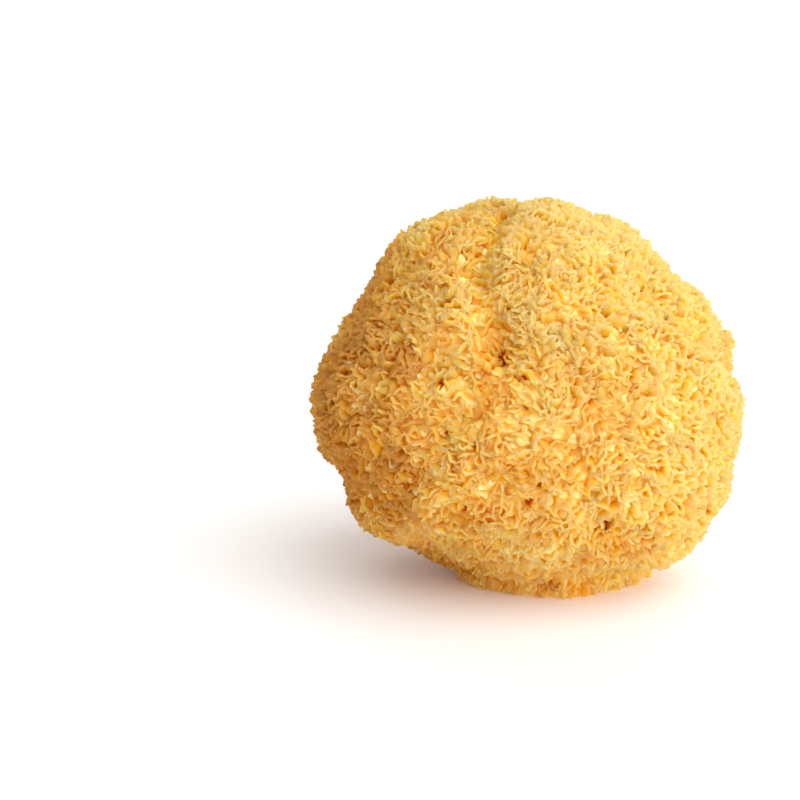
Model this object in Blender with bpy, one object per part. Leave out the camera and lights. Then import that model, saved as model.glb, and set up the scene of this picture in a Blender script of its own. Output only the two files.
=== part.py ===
"""Dried snow fungus: one whole head, as cut from the wood that it grew on.

The head is one natural piece, so it is one solid: a ball of frond clusters
that grew together from one hard foot, cut off flat underneath.  The solid's
skin is where the frond tips end.  Metres, +Z up, front towards -Y, origin
under the middle of the head, on the cut.
"""

import math

import bmesh
import bpy
import numpy as np
from mathutils import Vector

# ---------------------------------------------------------------- dimensions
WIDTH = 0.1100          # left to right, over the frond tips
DEPTH = 0.1060          # front to back
HEIGHT = 0.0975         # from the cut to the highest fronds
CUT_BELOW = 0.0455      # the flat cut, below the middle of the head
FOOT_RADIUS = 23.5      # mm, of the foot that is cut
FOOT_ASIDE = 7.0        # mm, from below the middle of the head to the right
GRID = 28               # squares along each side of the six-sided ball

MEAN_REACH = 53.0       # mm, middle of the head to the skin, where no other is given
VIEW_RISE = 12.0        # degrees above level that the outline was measured from
# Reach of the outline, mm, every 15 degrees from the right, anticlockwise.
OUTLINE = (54.6, 53.6, 51.0, 48.8, 50.9, 52.4, 52.4, 53.4,
           55.0, 53.1, 50.2, 52.4, 55.3, 55.3, 54.6, 54.2,
           50.6, 48.6, 51.0, 51.6, 55.8, 58.4, 57.6, 55.4)

# Frond clusters that stand out of the ball: (bearing, rise, height, spread),
# degrees, mm and degrees.  Bearing 0 is the front (-Y), 90 is the right (+X).
CLUSTERS = (
    (-38, 36, 1.6, 21), (23, 39, 1.4, 19), (47, 6, 1.2, 20), (-38, -6, 1.2, 20),
    (4, -20, 1.6, 20), (34, -18, 0.8, 18), (-64, 12, 1.0, 20), (-6, 62, 1.0, 16),
    (104, 24, 1.8, 22), (126, -14, 1.6, 22), (158, 20, 2.0, 24), (-166, -10, 1.8, 24),
    (-130, 16, 1.8, 22), (-112, -20, 1.4, 20), (-148, 50, 1.6, 20), (120, 56, 1.4, 20),
)

# Valleys between the clusters: (depth mm, width mm, path of (bearing, rise)).
VALLEYS = (
    (4.6, 4.2, ((-44, 79), (-25, 63), (-21, 50), (-15, 38), (-8, 24))),
    (2.6, 4.0, ((-8, 24), (-14, 12), (-22, 2), (-29, -10), (-40, -20), (-57, -24))),
    (1.8, 4.5, ((53, 54), (52, 40), (60, 26), (78, 14), (96, 2))),
    (3.0, 4.5, ((-92, -24), (-74, -20), (-57, -14), (-40, -8))),
    (1.8, 4.0, ((-20, -24), (-8, -14), (6, -10), (13, -7), (22, -26), (36, -41))),
    (1.5, 4.0, ((-88, 42), (-62, 40), (-40, 49), (-23, 52))),
    (2.2, 4.0, ((-96, -46), (-70, -46), (-48, -50), (-36, -47), (-24, -36), (-20, -24))),
    (3.2, 4.5, ((-44, 79), (-110, 62), (-116, 40), (-104, 14), (-96, -10), (-92, -24))),
    (0.8, 4.5, ((62, 67), (112, 74), (150, 62))),
    (3.0, 4.5, ((150, 50), (140, 38), (130, 14), (146, -8), (150, -34))),
    (3.0, 4.5, ((150, 50), (-166, 40), (-168, 18), (-150, -2), (-142, -26), (-150, -46))),
    (2.4, 4.5, ((96, 2), (104, -22), (92, -44), (70, -54), (40, -50))),
)

FOOT_GROOVE = (38.0, 6.0, 1.8)   # angle from straight down, width in degrees, depth in mm

FLORETS = 150           # small bumps over the whole skin, where fronds bunch
FLORET_HEIGHT = 1.7     # mm, crest above the creases between them
PLEATS = 17             # radial folds on the underside
PLEAT_DEPTH = 0.7       # mm


def bearing_to_vector(bearing, rise):
    b, r = math.radians(bearing), math.radians(rise)
    return np.array((math.sin(b) * math.cos(r), -math.cos(b) * math.cos(r), math.sin(r)))


def smooth_step(x):
    x = np.clip(x, 0, 1)
    return x * x * (3 - 2 * x)


def outline_reach(ways):
    """The ball's base shape: round, but with the outline's own reach at its edge."""
    rise = math.radians(VIEW_RISE)
    right = ways[:, 0]
    up = ways[:, 1] * math.sin(rise) + ways[:, 2] * math.cos(rise)
    turn = np.arctan2(up, right) % (2 * math.pi)
    reach = np.array(OUTLINE)
    step = turn / (2 * math.pi) * len(reach)
    low = np.floor(step).astype(int)
    part = step - low
    part = smooth_step(part)
    edge = reach[low % len(reach)] * (1 - part) + reach[(low + 1) % len(reach)] * part
    weight = right**2 + up**2
    return MEAN_REACH * (1 - weight) + edge * weight


def valley_depth(ways):
    """How far the skin sinks along the valleys, by distance from their paths."""
    sink = np.zeros(len(ways))
    for depth, width, path in VALLEYS:
        points = [bearing_to_vector(*p) for p in path]
        nearest = np.full(len(ways), 9.0)
        for a, b in zip(points, points[1:]):
            along = np.clip((ways - a) @ (b - a) / ((b - a) @ (b - a)), 0, 1)
            away = np.linalg.norm(ways - (a + along[:, None] * (b - a)), axis=1)
            nearest = np.minimum(nearest, away)
        sink = np.maximum(sink, depth * np.exp(-((nearest * MEAN_REACH / width) ** 2)))
    return sink


def floret_relief(ways):
    """Rounded bumps that meet in creases, spread evenly over the ball."""
    rng = np.random.default_rng(7)
    count = np.arange(FLORETS)
    height = 1 - (2 * count + 1) / FLORETS
    turn = count * math.pi * (3 - math.sqrt(5))
    wide = np.sqrt(1 - height**2)
    centres = np.stack((wide * np.cos(turn), wide * np.sin(turn), height), axis=1)
    centres += rng.normal(scale=0.045, size=centres.shape)
    centres /= np.linalg.norm(centres, axis=1)[:, None]
    away = np.arccos(np.clip(ways @ centres.T, -1, 1)).min(axis=1)
    radius = math.sqrt(4 / FLORETS) * 1.15
    return np.clip(1 - (away / radius) ** 2, 0, 1)


def skin_reach(ways):
    """Distance from the middle of the head to the skin, mm, for each direction."""
    reach = outline_reach(ways)
    for bearing, rise, height, spread in CLUSTERS:
        away = np.degrees(np.arccos(np.clip(ways @ bearing_to_vector(bearing, rise), -1, 1)))
        reach += height * (np.exp(-((away / spread) ** 2)) - 0.15)
    reach -= valley_depth(ways)
    under = smooth_step((-ways[:, 2] - 0.66) / 0.2)
    reach += FLORET_HEIGHT * (floret_relief(ways) - 0.6) * (1 - 0.8 * under)
    turn = np.arctan2(ways[:, 1], ways[:, 0])
    down = np.degrees(np.arccos(np.clip(-ways[:, 2], -1, 1)))
    wander = down + 2.2 * np.sin(2 * turn + 1.9) + 1.4 * np.sin(5 * turn + 0.4)
    left = 0.62 + 0.38 * np.sin(turn + 2.2) * np.cos(turn * 2 - 0.6)
    angle, width, depth = FOOT_GROOVE
    reach -= left * depth * np.exp(-(((wander - angle) / width) ** 2))
    sway = 1.2 * np.sin(3 * turn + 0.7) + 0.8 * np.sin(5 * turn + 2.1)
    reach += PLEAT_DEPTH * under * np.cos(PLEATS * turn + sway)
    wall = FOOT_ASIDE * np.cos(turn) + np.sqrt(FOOT_RADIUS**2 - (FOOT_ASIDE * np.sin(turn)) ** 2)
    wall *= (1 + 0.05 * np.sin(2 * turn + 0.5) + 0.03 * np.sin(5 * turn + 1.0))
    foot = np.minimum(wall / np.maximum(np.sin(np.radians(down)), 0.1), 62.0)
    part = smooth_step((reach - foot) / 2.4 + 0.5)
    bulged = foot + (reach - foot) * part + 1.2 * part * (1 - part)
    return np.where(down < 40, bulged, reach)


def six_sided_ball():
    """A unit ball of even quads, from a primitive cube."""
    mesh = bmesh.new()
    bmesh.ops.create_cube(mesh, size=2.0)
    bmesh.ops.subdivide_edges(mesh, edges=mesh.edges[:], cuts=GRID - 1, use_grid_fill=True)
    for vert in mesh.verts:
        vert.co = Vector(math.tan(c * math.pi / 4) for c in vert.co).normalized()
    return mesh


def shape_head(mesh):
    """Moves the ball's points out to the skin of the fungus."""
    ways = np.array([v.co for v in mesh.verts])
    for vert, way, reach in zip(mesh.verts, ways, skin_reach(ways)):
        vert.co = Vector(way * reach * 0.001)


def cut_foot(mesh):
    """The flat cut where the head was taken off the wood."""
    bmesh.ops.bisect_plane(
        mesh,
        geom=mesh.verts[:] + mesh.edges[:] + mesh.faces[:],
        dist=1e-6,
        plane_co=(0, 0, -CUT_BELOW),
        plane_no=(0, 0, -1),
        clear_outer=True,
    )
    near = [v for v in mesh.verts if v.co.z < -CUT_BELOW + 0.0008]
    bmesh.ops.remove_doubles(mesh, verts=near, dist=0.0007)
    rim = [e for e in mesh.edges if e.is_boundary]
    for vert in {v for e in rim for v in e.verts}:
        vert.co.z = -CUT_BELOW
    bmesh.ops.holes_fill(mesh, edges=rim, sides=0)


def fit_to_size(mesh):
    """Stretches the head to its measured size and stands it on its cut."""
    points = np.array([v.co for v in mesh.verts])
    low, high = points.min(0), points.max(0)
    size = np.array((WIDTH, DEPTH, HEIGHT))
    middle = (low + high) / 2
    middle[2] = low[2]
    for vert, p in zip(mesh.verts, (points - middle) * size / (high - low)):
        vert.co = Vector(p)


def fungus_material():
    material = bpy.data.materials.new("dried_fungus")
    material.use_nodes = True
    shader = material.node_tree.nodes["Principled BSDF"]
    shader.inputs["Base Color"].default_value = (0.86, 0.58, 0.22, 1.0)
    shader.inputs["Roughness"].default_value = 0.62
    shader.inputs["Metallic"].default_value = 0.0
    return material


def main():
    for obj in list(bpy.data.objects):
        bpy.data.objects.remove(obj)
    home = bpy.data.collections.new("snow_fungus")
    bpy.context.scene.collection.children.link(home)

    mesh = six_sided_ball()
    shape_head(mesh)
    cut_foot(mesh)
    fit_to_size(mesh)
    bmesh.ops.recalc_face_normals(mesh, faces=mesh.faces[:])
    data = bpy.data.meshes.new("fungus_head")
    mesh.to_mesh(data)
    mesh.free()
    data.shade_smooth()
    data.set_sharp_from_angle(angle=math.radians(35))
    data.materials.append(fungus_material())
    home.objects.link(bpy.data.objects.new("fungus_head", data))


main()
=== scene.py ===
"""Looks of the dried snow fungus: fronds, core, foot, floor, light and camera.

The head is a dense ball of thin, ruffled fronds.  Each frond is a small fan of
its own: rooted in the core, it leans and curls outwards, folds more and more
towards its free end and stops in a wavy, lobed rim just below the skin of the
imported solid.  Lengths inside the growing functions are millimetres, from the
middle of the head; the objects are made in metres.
"""

import math
import time

import bpy
import numpy as np
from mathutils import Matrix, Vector
from mathutils.bvhtree import BVHTree


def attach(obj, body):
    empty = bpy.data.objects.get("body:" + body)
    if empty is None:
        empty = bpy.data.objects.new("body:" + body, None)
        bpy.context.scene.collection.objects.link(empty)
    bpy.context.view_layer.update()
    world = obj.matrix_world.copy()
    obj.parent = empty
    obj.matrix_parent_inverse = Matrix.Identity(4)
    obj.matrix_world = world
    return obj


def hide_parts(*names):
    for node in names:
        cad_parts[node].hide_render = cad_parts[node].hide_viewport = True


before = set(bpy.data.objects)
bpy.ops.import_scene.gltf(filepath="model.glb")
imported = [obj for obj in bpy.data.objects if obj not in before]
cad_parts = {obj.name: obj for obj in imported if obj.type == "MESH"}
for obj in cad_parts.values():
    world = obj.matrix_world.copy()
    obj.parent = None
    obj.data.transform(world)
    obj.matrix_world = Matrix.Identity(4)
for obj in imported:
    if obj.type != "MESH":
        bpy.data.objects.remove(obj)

STARTED = time.time()
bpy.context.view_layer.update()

# ------------------------------------------------------------------ dimensions
MIDDLE = np.array((0.0, 0.0, 46.0))   # of the head, mm in the row frame
CORE_DEPTH = 2.7        # mm, from the skin to the core that the fronds grow from
RELIEF = 2.0            # mm, height of the core's own folds
CORE_GRID = 90          # squares along each of the six sides of the core
ROOT = 0.5              # mm, how far a frond is sunk in the core
TRIES = 60000           # places on the whole ball where a frond may grow
SPACING = 0.82          # times the room that each kind of frond keeps

# Kinds of frond. Widths, heights and folds in mm, angles in radians.
KINDS = {
    "broad": dict(share=0.04, room=(5.4, 2.0), columns=20, rows=(0, .36, .68, 1), width=(2.5, 3.6),
                  lean=0.30, curl=(-0.1, 0.5), fold=(0.55, 0.95), period=(2.6, 4.0)),
    "middle": dict(share=0.54, room=(4.8, 1.5), columns=16, rows=(0, .58, 1), width=(2.4, 3.5),
                   lean=0.26, curl=(-0.3, 0.65), fold=(0.42, 0.78), period=(2.5, 4.0)),
    "small": dict(share=0.41, room=(2.7, 1.3), columns=10, rows=(0, .60, 1), width=(1.45, 2.1),
                  lean=0.24, curl=(-0.4, 0.7), fold=(0.32, 0.60), period=(2.1, 3.3)),
}

# Deep gaps between fronds: (bearing, rise, length, width, turn), degrees and mm.
# Bearing 0 is the front (-Y), 90 is the right (+X).
GAPS = (
    (-7, 24, 3.4, 1.3, 65), (-22, 2, 3.2, 1.2, 155), (13, -7, 2.6, 1.1, 80), (4, -11, 1.6, 1.1, 0),
    (-18, -22, 3.0, 1.1, 20), (24, -27, 2.4, 1.1, 120),
)
MORE_GAPS = 60          # smaller ones, all over


# ---------------------------------------------------------------------- fields
class Field:
    """A smooth random field of unit spread: waves of about one length, all ways."""

    def __init__(self, seed, length, count=48, spread=0.22):
        rng = np.random.default_rng(seed)
        ways = rng.normal(size=(count, 3))
        ways /= np.linalg.norm(ways, axis=1)[:, None]
        size = 2 * math.pi / length * np.exp(rng.normal(scale=spread, size=count))
        self.waves = np.ascontiguousarray((ways * size[:, None]).T.astype(np.float32))
        self.phase = rng.uniform(0, 2 * math.pi, count).astype(np.float32)
        self.scale = math.sqrt(2 / count)

    def __call__(self, p):
        out = np.empty(len(p), np.float32)
        for i in range(0, len(p), 32768):
            turn = p[i : i + 32768] @ self.waves
            turn += self.phase
            out[i : i + 32768] = np.cos(turn).sum(1)
        return out * self.scale


def smooth(a, b, x):
    t = np.clip((x - a) / (b - a), 0, 1)
    return t * t * (3 - 2 * t)


class Skin:
    """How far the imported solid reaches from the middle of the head, by direction."""

    RISES, TURNS = 121, 240

    def __init__(self, node):
        mesh = node.data
        mesh.calc_loop_triangles()
        verts = np.empty(len(mesh.vertices) * 3, np.float32)
        mesh.vertices.foreach_get("co", verts)
        tris = np.empty(len(mesh.loop_triangles) * 3, np.int32)
        mesh.loop_triangles.foreach_get("vertices", tris)
        verts = verts.reshape(-1, 3) * 1000 - MIDDLE
        tree = BVHTree.FromPolygons(verts.tolist(), tris.reshape(-1, 3).tolist())
        self.table = np.zeros((self.RISES, self.TURNS), np.float32)
        start = Vector((0, 0, 0))
        for i, rise in enumerate(np.linspace(-math.pi / 2, math.pi / 2, self.RISES)):
            for j in range(self.TURNS):
                turn = 2 * math.pi * j / self.TURNS
                way = Vector((math.cos(rise) * math.cos(turn), math.cos(rise) * math.sin(turn), math.sin(rise)))
                self.table[i, j] = tree.ray_cast(start, way)[3]

    def __call__(self, ways):
        rise = (np.arcsin(np.clip(ways[:, 2], -1, 1)) / math.pi + 0.5) * (self.RISES - 1)
        turn = (np.arctan2(ways[:, 1], ways[:, 0]) / (2 * math.pi) % 1.0) * self.TURNS
        i = np.clip(rise.astype(int), 0, self.RISES - 2)
        j = turn.astype(int) % self.TURNS
        a, b = rise - i, turn - np.floor(turn)
        k = (j + 1) % self.TURNS
        t = self.table
        return ((t[i, j] * (1 - a) + t[i + 1, j] * a) * (1 - b) + (t[i, k] * (1 - a) + t[i + 1, k] * a) * b).astype(np.float32)


skin = Skin(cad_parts["fungus_head"])

swirl = Field(41, 15.0, 40, 0.3)        # fronds lean along its level lines
core_field = Field(42, 6.0, 40, 0.3)
ridge_wide = Field(44, 5.2, 48, 0.35)
ridge_fine = Field(45, 3.1, 48, 0.35)
bends = [Field(seed, 4.0, 24, 0.3) for seed in (46, 47, 48)]
tone_field = Field(43, 17.0, 32, 0.3)
size_field = Field(40, 24.0, 32, 0.3)
frill = Field(49, 2.6, 32, 0.35)        # how the rims stand higher and lower


def size_at(ways):
    """How large the fronds are, in parts of their usual size."""
    front = np.array((-0.20, -0.95, -0.22))
    return np.clip(0.98 + 0.12 * size_field(ways * 50) + 0.24 * smooth(0.55, 1.0, ways @ front), 0.76, 1.35)


def unit(v):
    return v / np.maximum(np.linalg.norm(v, axis=-1), 1e-9)[..., None]


def tangents(ways):
    side = unit(np.cross(ways, np.where(np.abs(ways[:, 2:]) < 0.9, (0.0, 0.0, 1.0), (1.0, 0.0, 0.0))))
    return side, np.cross(ways, side)


def skin_normal(ways):
    """Which way the skin faces, over about 3 mm, for each direction."""
    side, other = tangents(ways)
    d = 0.03
    at = lambda w: unit(w) * skin(unit(w))[:, None]
    normal = unit(np.cross(at(ways + side * d) - at(ways - side * d), at(ways + other * d) - at(ways - other * d)))
    return normal * np.sign((normal * ways).sum(1))[:, None]


def gap_list():
    """Places, directions along and sizes of the deep gaps."""
    rng = np.random.default_rng(9)
    more = [(rng.uniform(-180, 180), math.degrees(math.asin(rng.uniform(-0.6, 1))), rng.uniform(1.0, 2.4), rng.uniform(0.6, 0.9), rng.uniform(0, 180))
            for _ in range(MORE_GAPS)]
    rows = np.array(list(GAPS) + more)
    b, r = np.radians(rows[:, 0]), np.radians(rows[:, 1])
    ways = np.stack((np.sin(b) * np.cos(r), -np.cos(b) * np.cos(r), np.sin(r)), axis=1)
    right = np.stack((np.cos(b), np.sin(b), 0 * b), axis=1)
    above = np.cross(ways, right) * -1
    above *= np.sign(above[:, 2:])
    turn = np.radians(rows[:, 4])
    long = np.cos(turn)[:, None] * right + np.sin(turn)[:, None] * above
    return ways, long, np.cross(ways, long), rows[:, 2], rows[:, 3]


def in_gap(ways, spare=0.0):
    """1 in the middle of a gap, 0 outside them."""
    middle, long, wide, length, width = gap_list()
    best = np.zeros(len(ways))
    for m, u, v, a, b in zip(middle, long, wide, length, width):
        near = ways @ m > 0.99
        x, y = ways[near] @ u * 50, ways[near] @ v * 50
        r = np.hypot(x / (a / 2 + spare), y / (b / 2 + spare))
        best[near] = np.maximum(best[near], 1 - smooth(0.6, 1.0, r))
    return best


def hollow(way):
    """1 in the valleys between clusters, 0 elsewhere."""
    side, other = tangents(way)
    turns = np.linspace(0, 2 * math.pi, 8, endpoint=False)
    ring = sum(skin(unit(way + 0.14 * (math.cos(a) * side + math.sin(a) * other))) for a in turns) / 8
    return np.clip((ring - skin(way) - 0.3) / 1.5, 0, 1)


def above_cut(way):
    """Height of the skin above the cut, mm, in each direction: 0 over the cut foot."""
    return MIDDLE[2] + skin(way) * way[:, 2]


def core_depth(way):
    """Depth of the core below the skin, mm."""
    return CORE_DEPTH + 0.35 * core_field(way * 50)


def core_relief(way):
    """Folds of the core between the fronds, mm: sharp crests and rounded hollows."""
    p = way * 50
    p = p + 0.7 * np.stack([bend(p) for bend in bends], axis=1)
    wide = np.clip(1 - np.abs(ridge_wide(p)) * 1.15, 0, 1) ** 1.4
    fine = np.clip(1 - np.abs(ridge_fine(p)) * 1.15, 0, 1) ** 1.3
    return RELIEF * (0.55 * wide + 0.45 * fine)


# ----------------------------------------------------------------- the fronds
def places():
    """Ways in which fronds of each kind grow: close, but hardly through each other."""
    rng = np.random.default_rng(5)
    n = np.arange(TRIES)
    height = 1 - (2 * n + 1) / TRIES
    turn = n * math.pi * (3 - math.sqrt(5))
    wide = np.sqrt(1 - height**2)
    ways = np.stack((wide * np.cos(turn), wide * np.sin(turn), height), axis=1)
    ways = unit(ways + rng.normal(scale=0.5 * math.sqrt(4 * math.pi / TRIES), size=ways.shape))
    ways = ways[(above_cut(ways) > 0.4) & (in_gap(ways, 0.2) < 0.5)]
    ways = ways[rng.permutation(len(ways))].astype(np.float32)
    up, along, lean, strong = leaning(ways, rng)
    kinds = list(KINDS.values())
    share = np.array([kind["share"] for kind in kinds])
    kind = np.searchsorted(np.cumsum(share / share.sum())[:-1], rng.random(len(ways)))
    room = np.array([k["room"] for k in kinds])[kind] * SPACING * size_at(ways)[:, None]
    at = (ways * skin(ways)[:, None]).tolist()
    cells = np.floor(np.array(at) / 5.0).astype(int).tolist()
    along_list, lean_list, room_list = along.tolist(), lean.tolist(), room.tolist()
    taken, kept = {}, []
    for i, (x, y, z) in enumerate(at):
        p, q, r = cells[i]
        ax, ay, az = along_list[i]
        lx, ly, lz = lean_list[i]
        a, b = room_list[i]
        clear = True
        for key in ((p + dx, q + dy, r + dz) for dx in (-1, 0, 1) for dy in (-1, 0, 1) for dz in (-1, 0, 1)):
            for j in taken.get(key, ()):
                dx, dy, dz = at[j][0] - x, at[j][1] - y, at[j][2] - z
                u = (dx * ax + dy * ay + dz * az) ** 2
                v = (dx * lx + dy * ly + dz * lz) ** 2
                bx, by, bz = along_list[j]
                mx, my, mz = lean_list[j]
                u += (dx * bx + dy * by + dz * bz) ** 2
                v += (dx * mx + dy * my + dz * mz) ** 2
                c, d = room_list[j]
                if 2 * u / (a + c) ** 2 + 2 * v / (b + d) ** 2 < 1:
                    clear = False
                    break
            if not clear:
                break
        if clear:
            kept.append(i)
            taken.setdefault((p, q, r), []).append(i)
    kept = np.array(kept)
    return [(ways[k], up[k], along[k], lean[k], strong[k]) for k in (kept[kind[kept] == m] for m in range(len(kinds)))]


def leaning(ways, rng):
    """For each frond: the ways outwards, along its rim and where it leans, and how strongly."""
    up = unit(0.75 * skin_normal(ways) + 0.25 * ways)
    side, other = tangents(ways)
    p, d = ways * 50, 0.6
    a = (swirl(p + side * d) - swirl(p - side * d)) / (2 * d)
    b = (swirl(p + other * d) - swirl(p - other * d)) / (2 * d)
    strong = np.hypot(a, b) * 15.0 / (2 * math.pi)
    turn = np.arctan2(a, -b) + rng.normal(scale=0.35, size=len(ways))
    turn += math.pi * (rng.random(len(ways)) < 0.12)
    lean = np.cos(turn)[:, None] * side + np.sin(turn)[:, None] * other
    lean = unit(lean - up * (lean * up).sum(1)[:, None])
    return up, np.cross(lean, up), lean, strong


def frond_sheets(kind, ways, up, along, lean, strong, seed):
    """Middle surfaces of fronds: points (frond, row, column), rim distance with painted shade added, and half
    thickness.
    """
    rng = np.random.default_rng(seed)
    n = len(ways)
    size = size_at(ways)[:, None, None]
    pick = lambda low, high: rng.uniform(low, high, n)[:, None, None]
    normal = up
    up, along, lean = (v[:, None, None, :] for v in (up, along, lean))
    strong = strong[:, None, None]
    t = np.array(kind["rows"])[None, :, None]
    s = np.linspace(-1, 1, kind["columns"] + 1)[None, None, :]
    # a fan, wider at its rim than at its root, with lobes
    width = pick(*kind["width"]) * size
    reach = width * (0.42 + 0.58 * t**0.8)
    x = s * reach
    rim_x = s * width
    lobes = np.abs(np.sin(math.pi * rim_x / (pick(1.5, 2.7) * size) + pick(0, 6)))
    pointed = rng.random(n)[:, None, None] < 0.7
    notch = np.where(pointed, pick(0.14, 0.40) * lobes, pick(0.04, 0.16) * (1 - lobes**2))
    ends = 0.55 * np.abs(s) ** 4
    length = 1 - notch - ends
    # it leans, and curls over towards the rim
    first = kind["lean"] * (0.35 + 0.65 * np.clip(strong, 0, 1.5)) + 0.16 * pick(-1, 1)
    curl = pick(*kind["curl"]) * np.where(rng.random(n)[:, None, None] < 0.85, 1, -0.8)
    twist = 0.45 * pick(-1, 1)
    angle = first + curl * t**1.5 + twist * s * t + pick(-0.6, 0.8) * t**6
    middle = (angle[:, 1:] + angle[:, :-1]) / 2
    step = np.diff(t, axis=1)
    zero = np.zeros((n, 1, s.shape[2]))
    y = np.concatenate((zero, np.cumsum(np.sin(middle) * step, axis=1)), axis=1)
    z = np.concatenate((zero, np.cumsum(np.cos(middle) * step, axis=1)), axis=1)
    tall = z[:, -1].mean(1)[:, None, None]
    base = core_depth(ways)[:, None, None] + ROOT
    arc = (base + 0.45 - 1.5 * pick(0, 1) ** 1.6) / np.maximum(tall, 0.45) / 0.86
    y, z = y * arc * length, z * arc * length
    # folds that grow towards the rim, square to the sheet
    deep = pick(*kind["fold"]) * size * t**0.8
    turn = 2 * math.pi * rim_x / (pick(*kind["period"]) * size)
    r = deep * (0.62 * np.sin(turn + pick(0, 6)) + 0.5 * np.sin(turn * pick(0.42, 0.72) + pick(0, 6)))
    y = y + r * np.cos(angle) + 0.10 * pick(-1, 1) * x**2 + 0.55 * pick(-1, 1) * (1 - lobes) * t**3
    z = z - r * np.sin(angle) * 0.7
    x = x + pick(-0.35, 0.35) * z
    start = (ways * skin(ways)[:, None] - normal * (core_depth(ways) + ROOT)[:, None])[:, None, None, :]
    points = start + along * x[..., None] + lean * y[..., None] + up * z[..., None]
    # Distance from the rim, mm. Painted shade is added to it further down.
    rim_and_painted_shade = (1 - t) * arc * length
    half = 0.22 + 0.02 * smooth(0.3, 1.5, rim_and_painted_shade)
    points = limit(points)
    flat = points.reshape(-1, 3)
    reach = np.linalg.norm(flat, axis=1)
    way = flat / reach[:, None]
    below = (skin(way) - reach).reshape(rim_and_painted_shade.shape)
    # Painted shade: the colour grows darker and oranger deeper below the skin, in the valleys between clusters and
    # around the deep gaps.
    rim_and_painted_shade = np.minimum(np.maximum(rim_and_painted_shade, 0.9 * (below - 0.9)) + 1.1 * hollow(ways)[:, None, None], 4.0)
    painted_gap_shade = 3.0 * in_gap(way, 0.7) + 2.2 * in_gap(way, 0.15) ** 2
    return points, rim_and_painted_shade + painted_gap_shade.reshape(rim_and_painted_shade.shape), half


def limit(points):
    """Keeps the rims just below the skin and above the surface that the cut rests on."""
    flat = points.reshape(-1, 3)
    r = np.linalg.norm(flat, axis=1)
    way = flat / r[:, None]
    reach = skin(way)
    depth = reach - r
    soft = 0.8
    depth = np.where(depth < soft, soft * np.exp(np.clip((depth - soft) / soft, -6, 0)), depth) - 0.3
    depth = depth - 0.4 * frill(way * 50)
    depth = depth + 2.4 * in_gap(way, 0.15)
    flat = way * (reach - depth)[:, None]
    lift = 0.6
    up = flat[:, 2] + MIDDLE[2]
    flat[:, 2] += np.where(up < lift, lift * np.exp(np.clip((up - lift) / lift, -8, 0)) + 0.25 - up, 0.25)
    return flat.reshape(points.shape)


def shells(points, half):
    """Closed shells round sheets of points (frond, row, column), sharp but for their rims: points and triangles."""
    n, rows, columns = points.shape[:3]
    du = np.gradient(points, axis=2)
    dv = np.gradient(points, axis=1)
    normal = unit(np.cross(du, dv))
    half = np.array(np.broadcast_to(half, points.shape[:3]))
    half[:, 0], half[:, :, 0], half[:, :, -1] = 0, 0, 0
    off = normal * half[..., None]
    both = np.stack((points + off, points - off), axis=1).reshape(-1, 3)
    m = rows * columns
    at = np.arange(m).reshape(rows, columns)
    a, b, c, d = at[:-1, :-1].ravel(), at[:-1, 1:].ravel(), at[1:, 1:].ravel(), at[1:, :-1].ravel()
    front = np.concatenate((np.stack((a, b, c), 1), np.stack((a, c, d), 1)))
    back = at + m
    back[0], back[:, 0], back[:, -1] = at[0], at[:, 0], at[:, -1]
    back = back.ravel()
    i, j = at[-1, 1:], at[-1, :-1]
    one = np.concatenate((front, back[front[:, ::-1]], np.stack((j, i, back[i]), 1), np.stack((j, back[i], back[j]), 1)))
    one = one[(one[:, 0] != one[:, 1]) & (one[:, 1] != one[:, 2]) & (one[:, 2] != one[:, 0])]
    edge = np.concatenate((at[0], at[:, 0], at[:, -1]))
    one = one[~np.isin(one, edge).all(axis=1)]
    tris = (one[None] + (np.arange(n) * 2 * m)[:, None, None]).reshape(-1, 3)
    return both, tris


def grow():
    """All fronds: points, triangles, and rim distance with painted shade, and tone with painted light and shade, of
    each point.
    """
    placed = places()
    points, tris, rims_and_painted_shade, tones_and_painted_shade, owners = [], [], [], [], []
    count = fronds_made = 0
    for number, (name, kind) in enumerate(KINDS.items()):
        some = placed[number][0]
        sheet, rim_and_painted_shade, half = frond_sheets(kind, *placed[number], 50 + number)
        p, t = shells(sheet, half)
        each = len(p) // len(some)
        rng = np.random.default_rng(70 + number)
        # Tone varies at random from frond to frond and over the ball. It also holds painted light and shade: paler on
        # the top and on the right (+X) side, darker on the left (-X) side.
        tone_and_painted_shade = 0.54 + 0.15 * rng.normal(size=len(some)) + 0.12 * tone_field(some * 50) + 0.2 * smooth(0.3, 0.9, some[:, 2])
        tone_and_painted_shade = np.clip(tone_and_painted_shade - 0.56 * smooth(0.0, 0.95, -some[:, 0]) + 0.3 * smooth(0.05, 0.9, some[:, 0]), 0, 1)
        shape = sheet.shape[:3]
        rim_and_painted_shade = np.broadcast_to(rim_and_painted_shade, shape).reshape(len(some), -1)
        points.append(p)
        tris.append(t + count)
        rims_and_painted_shade.append(np.concatenate((rim_and_painted_shade, rim_and_painted_shade), axis=1).ravel())
        tones_and_painted_shade.append(np.repeat(tone_and_painted_shade, each))
        owners.append(np.repeat(np.arange(len(some)) + fronds_made, len(t) // len(some)))
        count += len(p)
        fronds_made += len(some)
        print(name, len(some), "fronds", len(t), "triangles")
    ways = np.concatenate([some[0] for some in placed])
    return ways, np.concatenate(points), np.concatenate(tris), np.concatenate(rims_and_painted_shade), np.concatenate(tones_and_painted_shade), np.concatenate(owners)


def compact(points, tris, *more):
    used, back = np.unique(tris, return_inverse=True)
    return (points[used], back.reshape(tris.shape), *(m[used] for m in more))


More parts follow.
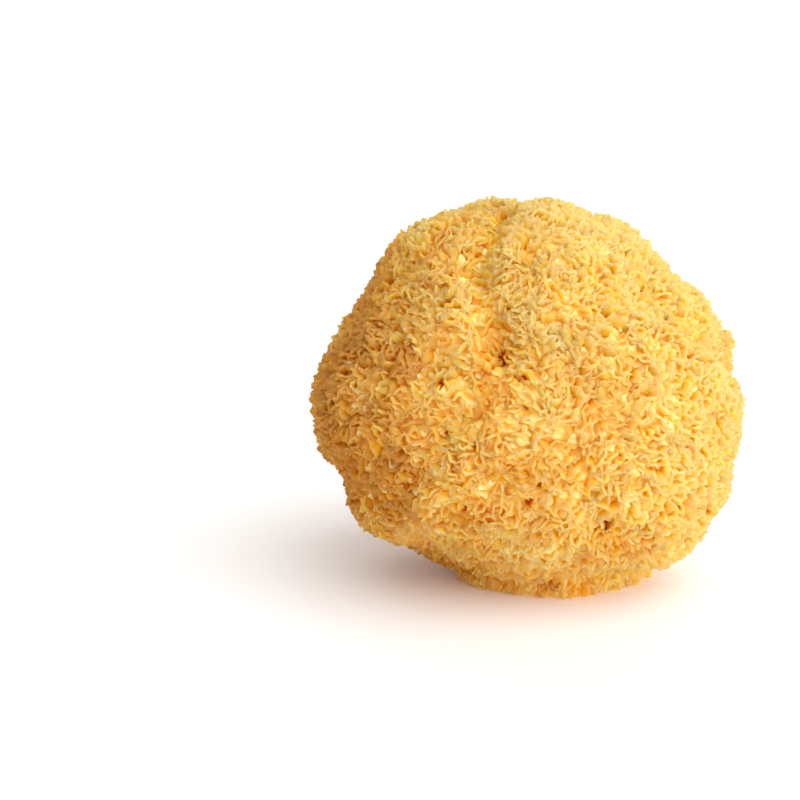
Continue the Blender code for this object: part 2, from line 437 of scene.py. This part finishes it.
def make_mesh(name, points, tris, material, attributes, smooth_faces=True):
    mesh = bpy.data.meshes.new(name)
    mesh.vertices.add(len(points))
    mesh.vertices.foreach_set("co", ((points + MIDDLE) * 0.001).astype(np.float32).ravel())
    mesh.loops.add(len(tris) * 3)
    mesh.loops.foreach_set("vertex_index", tris.astype(np.int32).ravel())
    mesh.polygons.add(len(tris))
    mesh.polygons.foreach_set("loop_start", np.arange(0, len(tris) * 3, 3, dtype=np.int32))
    mesh.polygons.foreach_set("use_smooth", np.full(len(tris), smooth_faces))
    for key, values in attributes.items():
        mesh.attributes.new(key, "FLOAT", "POINT").data.foreach_set("value", values.astype(np.float32))
    mesh.update(calc_edges=True)
    mesh.materials.append(material)
    obj = bpy.data.objects.new(name, mesh)
    bpy.context.scene.collection.objects.link(obj)
    return obj


# ------------------------------------------------------------------- materials
def new_material(name):
    material = bpy.data.materials.new(name)
    material.use_nodes = True
    nodes = material.node_tree.nodes
    return material, nodes, material.node_tree.links, nodes["Principled BSDF"]


def ramp(nodes, stops):
    node = nodes.new("ShaderNodeValToRGB")
    bar = node.color_ramp
    while len(bar.elements) < len(stops):
        bar.elements.new(0.5)
    for element, (at, colour) in zip(bar.elements, stops):
        element.position = at
        element.color = (*colour, 1.0)
    return node


def frond_material():
    material, nodes, links, shader = new_material("dried_fronds")
    rim_and_painted_shade = nodes.new("ShaderNodeAttribute")
    rim_and_painted_shade.attribute_name = "rim_and_painted_shade"
    # Pale at the rims and darker orange further in. This is partly the fronds' own colour, since thin edges are paler,
    # and partly painted shade. The darkest, red-brown end is painted shade around the gaps.
    by_rim_and_painted_shade = ramp(nodes, ((0.0, (1.0, 0.94, 0.60)), (0.10, (1.0, 0.93, 0.48)), (0.30, (1.0, 0.90, 0.24)),
                          (0.60, (1.0, 0.83, 0.10)), (0.78, (1.0, 0.56, 0.03)), (0.92, (0.82, 0.17, 0.015))))
    links.new(rim_and_painted_shade.outputs["Fac"], by_rim_and_painted_shade.inputs["Fac"])
    place_node = nodes.new("ShaderNodeTexCoord")
    cloud = nodes.new("ShaderNodeTexNoise")
    cloud.inputs["Scale"].default_value = 60.0
    cloud.inputs["Detail"].default_value = 4.0
    links.new(place_node.outputs["Object"], cloud.inputs["Vector"])
    tint = ramp(nodes, ((0.3, (1.0, 0.95, 0.76)), (0.7, (1.0, 1.0, 1.0))))
    links.new(cloud.outputs["Fac"], tint.inputs["Fac"])
    mixed = nodes.new("ShaderNodeMix")
    mixed.data_type = "RGBA"
    mixed.blend_type = "MULTIPLY"
    mixed.inputs["Factor"].default_value = 0.8
    tone_and_painted_shade = nodes.new("ShaderNodeAttribute")
    tone_and_painted_shade.attribute_name = "tone_and_painted_shade"
    # Low tone is darker and oranger. This is partly random variation and partly the painted shade of the left side.
    by_tone_and_painted_shade = ramp(nodes, ((0.0, (0.89, 0.62, 0.24)), (0.25, (1.0, 0.86, 0.48)), (0.5, (1.0, 0.95, 0.76)), (0.85, (1.0, 1.0, 1.0))))
    links.new(tone_and_painted_shade.outputs["Fac"], by_tone_and_painted_shade.inputs["Fac"])
    toned_with_painted_shade = nodes.new("ShaderNodeMix")
    toned_with_painted_shade.data_type = "RGBA"
    toned_with_painted_shade.blend_type = "MULTIPLY"
    toned_with_painted_shade.inputs["Factor"].default_value = 1.0
    links.new(by_rim_and_painted_shade.outputs["Color"], toned_with_painted_shade.inputs["A"])
    links.new(by_tone_and_painted_shade.outputs["Color"], toned_with_painted_shade.inputs["B"])
    links.new(toned_with_painted_shade.outputs["Result"], mixed.inputs["A"])
    links.new(tint.outputs["Color"], mixed.inputs["B"])
    links.new(mixed.outputs["Result"], shader.inputs["Base Color"])
    shader.inputs["Roughness"].default_value = 0.5
    through = nodes.new("ShaderNodeBsdfTranslucent")
    deeper = nodes.new("ShaderNodeMix")
    deeper.data_type = "RGBA"
    deeper.blend_type = "MULTIPLY"
    deeper.inputs["Factor"].default_value = 1.0
    deeper.inputs["B"].default_value = (1.0, 0.965, 0.73, 1.0)
    links.new(mixed.outputs["Result"], deeper.inputs["A"])
    links.new(deeper.outputs["Result"], through.inputs["Color"])
    thin = nodes.new("ShaderNodeMixShader")
    thin.inputs["Fac"].default_value = 0.80
    links.new(shader.outputs["BSDF"], thin.inputs[1])
    links.new(through.outputs["BSDF"], thin.inputs[2])
    links.new(thin.outputs["Shader"], nodes["Material Output"].inputs["Surface"])
    grain = nodes.new("ShaderNodeTexNoise")
    grain.inputs["Scale"].default_value = 2600.0
    grain.inputs["Detail"].default_value = 3.0
    links.new(place_node.outputs["Object"], grain.inputs["Vector"])
    bump = nodes.new("ShaderNodeBump")
    bump.inputs["Strength"].default_value = 0.25
    bump.inputs["Distance"].default_value = 0.0002
    links.new(grain.outputs["Fac"], bump.inputs["Height"])
    links.new(bump.outputs["Normal"], shader.inputs["Normal"])
    return material


def core_material():
    material, nodes, links, shader = new_material("fungus_core")
    place_node = nodes.new("ShaderNodeTexCoord")
    cloud = nodes.new("ShaderNodeTexNoise")
    cloud.inputs["Scale"].default_value = 220.0
    cloud.inputs["Detail"].default_value = 5.0
    links.new(place_node.outputs["Object"], cloud.inputs["Vector"])
    painted_shade_by_crest = nodes.new("ShaderNodeAttribute")
    painted_shade_by_crest.attribute_name = "painted_shade_by_crest"
    # Painted shade: the core is paler on its crests, darker orange in its hollows and dark red in the deep gaps.
    colour = ramp(nodes, ((0.0, (0.60, 0.11, 0.012)), (0.12, (1.0, 0.46, 0.02)), (0.38, (1.0, 0.60, 0.07)), (0.65, (1.0, 0.74, 0.17)), (0.95, (1.0, 0.86, 0.36))))
    links.new(painted_shade_by_crest.outputs["Fac"], colour.inputs["Fac"])
    tint = ramp(nodes, ((0.3, (1.0, 0.94, 0.78)), (0.7, (1.0, 1.0, 1.0))))
    links.new(cloud.outputs["Fac"], tint.inputs["Fac"])
    mixed = nodes.new("ShaderNodeMix")
    mixed.data_type = "RGBA"
    mixed.blend_type = "MULTIPLY"
    mixed.inputs["Factor"].default_value = 0.8
    links.new(colour.outputs["Color"], mixed.inputs["A"])
    links.new(tint.outputs["Color"], mixed.inputs["B"])
    links.new(mixed.outputs["Result"], shader.inputs["Base Color"])
    shader.inputs["Roughness"].default_value = 0.6
    return material


def floor_material():
    material, nodes, links, shader = new_material("pale_floor")
    shader.inputs["Base Color"].default_value = (0.96, 0.96, 0.955, 1.0)
    shader.inputs["Roughness"].default_value = 0.75
    return material


# ------------------------------------------------------------------- the core
def six_sided_ball(grid):
    """Unit ways and triangles of an even ball: a cube's six grids, joined at their edges."""
    edge = np.tan(np.linspace(-1, 1, grid + 1) * math.pi / 4)
    u, v = (w.ravel() for w in np.meshgrid(edge, edge, indexing="ij"))
    one = np.ones_like(u)
    sides = [np.roll(np.stack((one * sign, u * sign, v), axis=1), turn, axis=1) for turn in range(3) for sign in (1, -1)]
    ways = unit(np.concatenate(sides))
    at = np.arange(len(u)).reshape(grid + 1, grid + 1)
    a, b, c, d = at[:-1, :-1].ravel(), at[1:, :-1].ravel(), at[1:, 1:].ravel(), at[:-1, 1:].ravel()
    quads = np.concatenate((np.stack((a, b, c), 1), np.stack((a, c, d), 1)))
    faces = np.concatenate([quads + n * len(u) for n in range(6)])
    _, first, back = np.unique(np.round(ways * 1e5).astype(np.int64), axis=0, return_index=True, return_inverse=True)
    return ways[first].astype(np.float32), back.ravel()[faces]


def make_core():
    """The body that the fronds grow from, with its cut foot."""
    ways, faces = six_sided_ball(CORE_GRID)
    normal = skin_normal(ways)
    foot = smooth(0.96, 0.995, -normal[:, 2]) * (above_cut(ways) < 0.3)
    relief, gap = core_relief(ways), in_gap(ways, 0.0)
    sunk = (core_depth(ways) - relief * (1 - gap) + 2.2 * gap) * (1 - foot) + 0.1 * foot
    points = ways * skin(ways)[:, None] - unit(0.75 * normal + 0.25 * ways) * sunk[:, None]
    points[:, 2] = np.maximum(points[:, 2], 0.1 - MIDDLE[2])
    # Painted shade: high on the core's crests, low in its hollows and zero in the gaps.
    painted_shade_by_crest = np.clip(relief / RELIEF * 1.25 + 0.12, 0.12, 1) * (1 - gap) ** 2
    return make_mesh("fungus_core", points, faces, core_material(), {"painted_shade_by_crest": painted_shade_by_crest, "foot": foot})


# --------------------------------------------------------------------- making
fronds = frond_material()
core = make_core()
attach(core, "root")
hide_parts("fungus_head")

ways, points, tris, rims_and_painted_shade, tones_and_painted_shade, owners = grow()
SECTORS = ("right", "back_right", "back_left", "left", "front_left", "front_right")
sector = ((np.arctan2(ways[:, 1], ways[:, 0]) / (2 * math.pi) % 1.0) * len(SECTORS)).astype(int)[owners]
for n, name in enumerate(SECTORS):
    p, t, rim_and_painted_shade, tone_and_painted_shade = compact(points, tris[sector == n], rims_and_painted_shade, tones_and_painted_shade)
    obj = make_mesh("fronds_" + name, p, t, fronds, {"rim_and_painted_shade": np.clip(rim_and_painted_shade / 5.0, 0, 1), "tone_and_painted_shade": tone_and_painted_shade})
    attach(obj, "root")
    print(obj.name, len(t))
print("triangles", len(tris), round(time.time() - STARTED, 1))

# ---------------------------------------------------------------------- stage
def make_floor():
    mesh = bpy.data.meshes.new("floor")
    r = 60.0
    mesh.from_pydata([(-r, -r, 0), (r, -r, 0), (r, r, 0), (-r, r, 0)], [], [(0, 1, 2, 3)])
    mesh.materials.append(floor_material())
    obj = bpy.data.objects.new("floor", mesh)
    bpy.context.scene.collection.objects.link(obj)


def make_sun(name, source, width, strength, colour):
    """A broad, soft light from one side, as even on the floor as on the head."""
    light = bpy.data.lights.new(name, "SUN")
    light.angle = math.radians(width)
    light.energy = strength
    light.color = colour
    obj = bpy.data.objects.new(name, light)
    bpy.context.scene.collection.objects.link(obj)
    obj.location = source
    obj.rotation_euler = Vector(source).to_track_quat("Z", "Y").to_euler()


def make_world(dim, bright, shown):
    """Soft light from all round, brighter from one side, and a plain backdrop as bright as the floor."""
    world = bpy.data.worlds.new("world")
    world.use_nodes = True
    nodes, links = world.node_tree.nodes, world.node_tree.links
    lit = nodes["Background"]
    place_node = nodes.new("ShaderNodeTexCoord")
    side = nodes.new("ShaderNodeVectorMath")
    side.operation = "DOT_PRODUCT"
    side.inputs[1].default_value = Vector((0.78, -0.50, 0.42)).normalized()
    links.new(place_node.outputs["Generated"], side.inputs[0])
    amount = nodes.new("ShaderNodeMapRange")
    amount.inputs["To Min"].default_value = dim
    amount.inputs["To Max"].default_value = bright
    near = nodes.new("ShaderNodeMapRange")
    near.inputs["From Min"].default_value = 0.15
    near.inputs["From Max"].default_value = 1.0
    links.new(side.outputs["Value"], near.inputs["Value"])
    steep = nodes.new("ShaderNodeMath")
    steep.operation = "POWER"
    steep.inputs[1].default_value = 1.4
    links.new(near.outputs["Result"], steep.inputs[0])
    links.new(steep.outputs["Value"], amount.inputs["Value"])
    links.new(amount.outputs["Result"], lit.inputs["Strength"])
    warm = nodes.new("ShaderNodeMapRange")
    warm.inputs["From Min"].default_value = -0.3
    warm.inputs["From Max"].default_value = 0.6
    links.new(side.outputs["Value"], warm.inputs["Value"])
    colour = nodes.new("ShaderNodeMix")
    colour.data_type = "RGBA"
    colour.inputs["A"].default_value = (1.0, 0.72, 0.48, 1.0)
    colour.inputs["B"].default_value = (1.0, 1.0, 1.0, 1.0)
    links.new(warm.outputs["Result"], colour.inputs["Factor"])
    links.new(colour.outputs["Result"], lit.inputs["Color"])
    seen = nodes.new("ShaderNodeBackground")
    seen.inputs["Color"].default_value = (1, 1, 1, 1)
    seen.inputs["Strength"].default_value = shown
    path = nodes.new("ShaderNodeLightPath")
    mix = nodes.new("ShaderNodeMixShader")
    links.new(path.outputs["Is Camera Ray"], mix.inputs["Fac"])
    links.new(lit.outputs["Background"], mix.inputs[1])
    links.new(seen.outputs["Background"], mix.inputs[2])
    links.new(mix.outputs["Shader"], nodes["World Output"].inputs["Surface"])
    bpy.context.scene.world = world


def make_camera():
    """Stands where the photograph was taken from; the head is right of the frame's middle."""
    rise = math.radians(12.0)
    middle = Vector((0, 0, 0.0465))
    data = bpy.data.cameras.new("camera")
    data.lens = 85.0
    data.sensor_width = 36.0
    data.clip_start = 0.01
    camera = bpy.data.objects.new("camera", data)
    bpy.context.scene.collection.objects.link(camera)
    away = 0.488
    camera.location = middle + Vector((0, -math.cos(rise), math.sin(rise))) * away
    half = 18.0 / 85.0
    right = math.atan((527 - 400) / 400 * half)
    up = math.atan((400 - 397) / 400 * half)
    camera.rotation_euler = (math.pi / 2 - rise - up, 0, right)
    bpy.context.scene.camera = camera


make_floor()
make_sun("key", (0.15, -0.52, 0.82), 80.0, 0.9, (1.0, 0.99, 0.97))
make_sun("fill", (-0.10, 0.85, 0.45), 70.0, 1.6, (1.0, 0.99, 0.97))
make_world(0.10, 2.9, 1.0)
bpy.context.scene.view_settings.view_transform = "Standard"
bpy.context.scene.view_settings.gamma = 1.25
bpy.context.scene.cycles.diffuse_bounces = 32    # light goes deep between the fronds, and through them
bpy.context.scene.cycles.transmission_bounces = 32
bpy.context.scene.cycles.max_bounces = 40
make_camera()

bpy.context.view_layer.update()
print("script seconds", round(time.time() - STARTED, 1))
